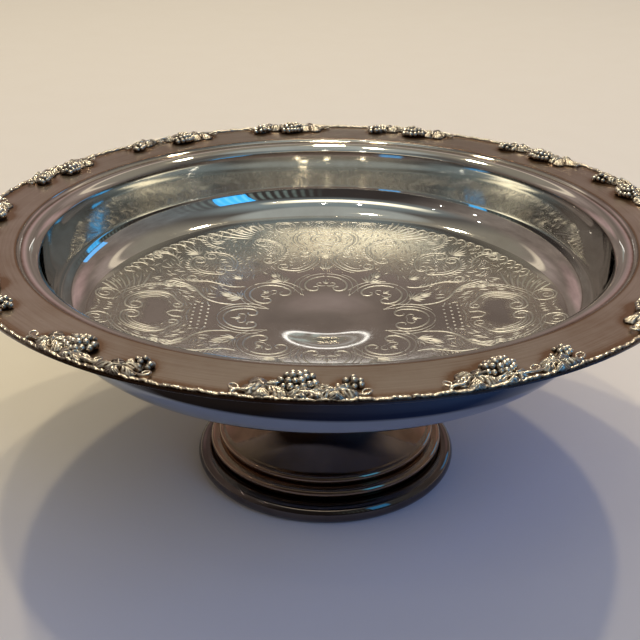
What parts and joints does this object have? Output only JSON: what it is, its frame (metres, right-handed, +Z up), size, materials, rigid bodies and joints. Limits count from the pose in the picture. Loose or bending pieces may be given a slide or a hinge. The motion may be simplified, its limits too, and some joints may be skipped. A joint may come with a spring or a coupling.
{
  "type": "footed_compote_bowl",
  "caption": "Silver-plated footed compote bowl with a wide flat flange, a cast vine and grape border, a steep wall, a chased dished floor and a spun trumpet foot",
  "frame": {"origin": "On the table in the middle of the foot, at the lowest point of the object's box", "axes": "+Z points up along the axis of the bowl, -Y points to the viewer of the picture and +X points to the viewer's right"},
  "size_m": [0.25, 0.25, 0.0978],
  "materials": {
    "spun_plate": "worn polished silver plate",
    "cast_border": "cast silver plate, tarnished in the hollows",
    "foot_plate": "worn polished silver plate",
    "solder": "dull soft solder"
  },
  "bodies": {
    "root": {"bowl_body": "spun_plate", "border_section_1": "cast_border", "border_section_2": "cast_border", "border_section_3": "cast_border", "border_section_4": "cast_border", "border_section_5": "cast_border", "border_section_6": "cast_border", "border_section_7": "cast_border", "border_section_8": "cast_border", "border_section_9": "cast_border", "border_section_10": "cast_border", "border_section_11": "cast_border", "border_section_12": "cast_border", "border_section_13": "cast_border", "foot_shell": "foot_plate", "foot_ring": "foot_plate", "solder_fillet": "solder"}
  },
  "joints": []
}
